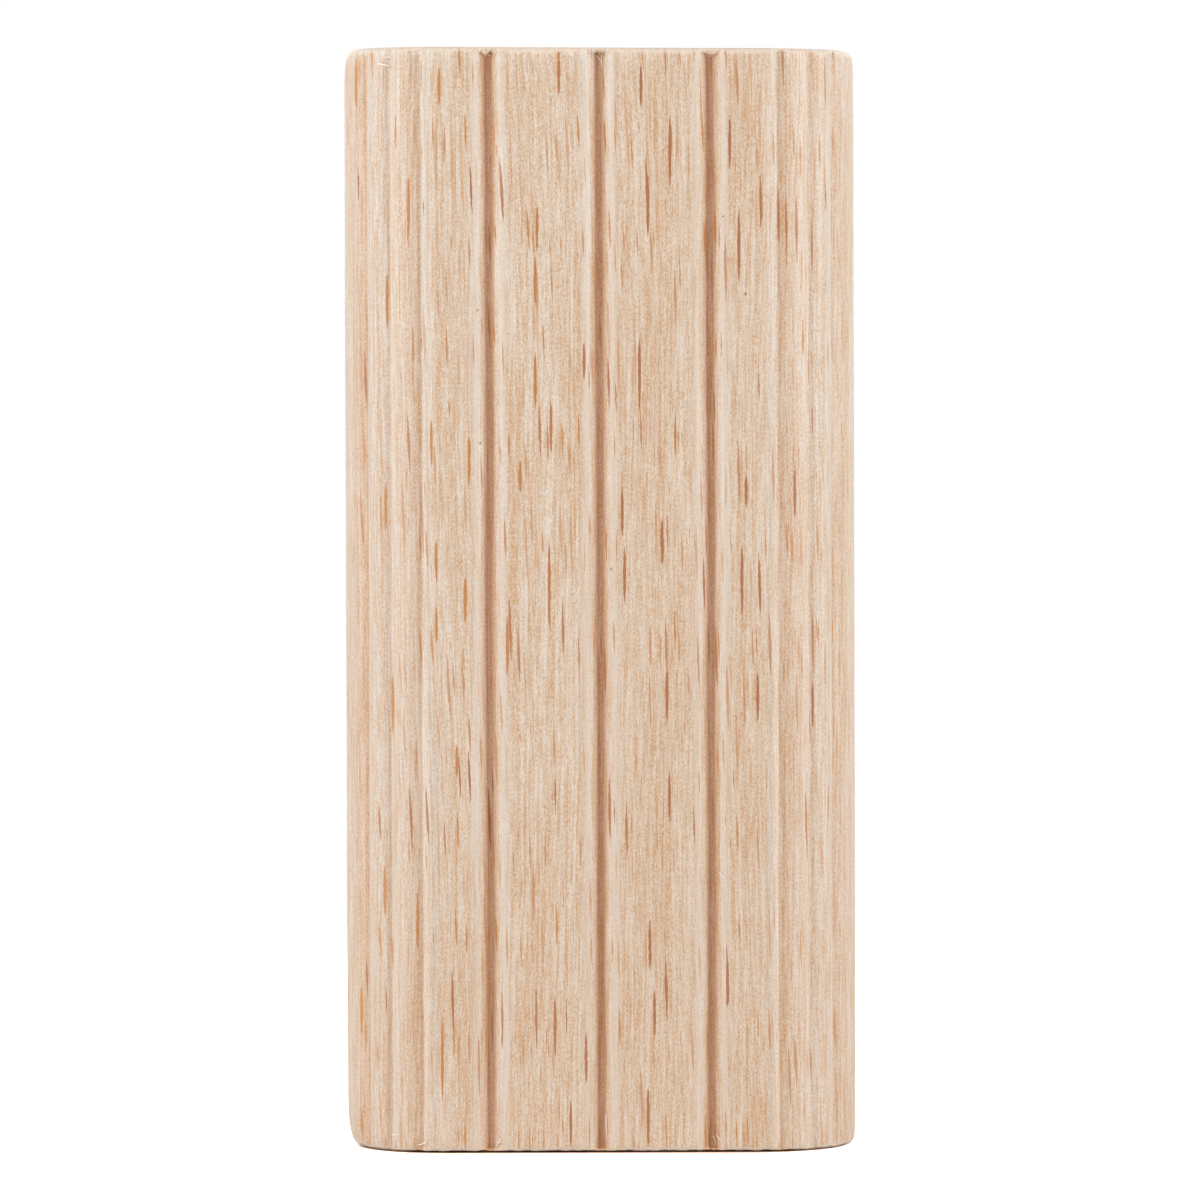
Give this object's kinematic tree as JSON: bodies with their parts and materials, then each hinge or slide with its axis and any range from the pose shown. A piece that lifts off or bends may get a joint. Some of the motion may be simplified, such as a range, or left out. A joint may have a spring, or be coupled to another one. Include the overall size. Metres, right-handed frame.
{
  "type": "loose tenon",
  "caption": "Flat hardwood slip with rounded edges and fine glue grooves along its length, which joins two boards when glued into a slot mortise in each.",
  "frame": {"origin": "middle of the lower sawn end, on the surface that the tenon stands on", "axes": "+Z along the grain and the length, X across the width from one rounded edge to the other, Y through the thickness from cheek to cheek, the cheek seen in the front view facing -Y"},
  "size_m": [0.0234, 0.01, 0.05],
  "materials": {
    "beech": "bare steamed beech, moulded and grooved along the grain, sawn across at the ends, never sanded or oiled"
  },
  "bodies": {
    "root": {"tenon": "beech"}
  },
  "joints": []
}
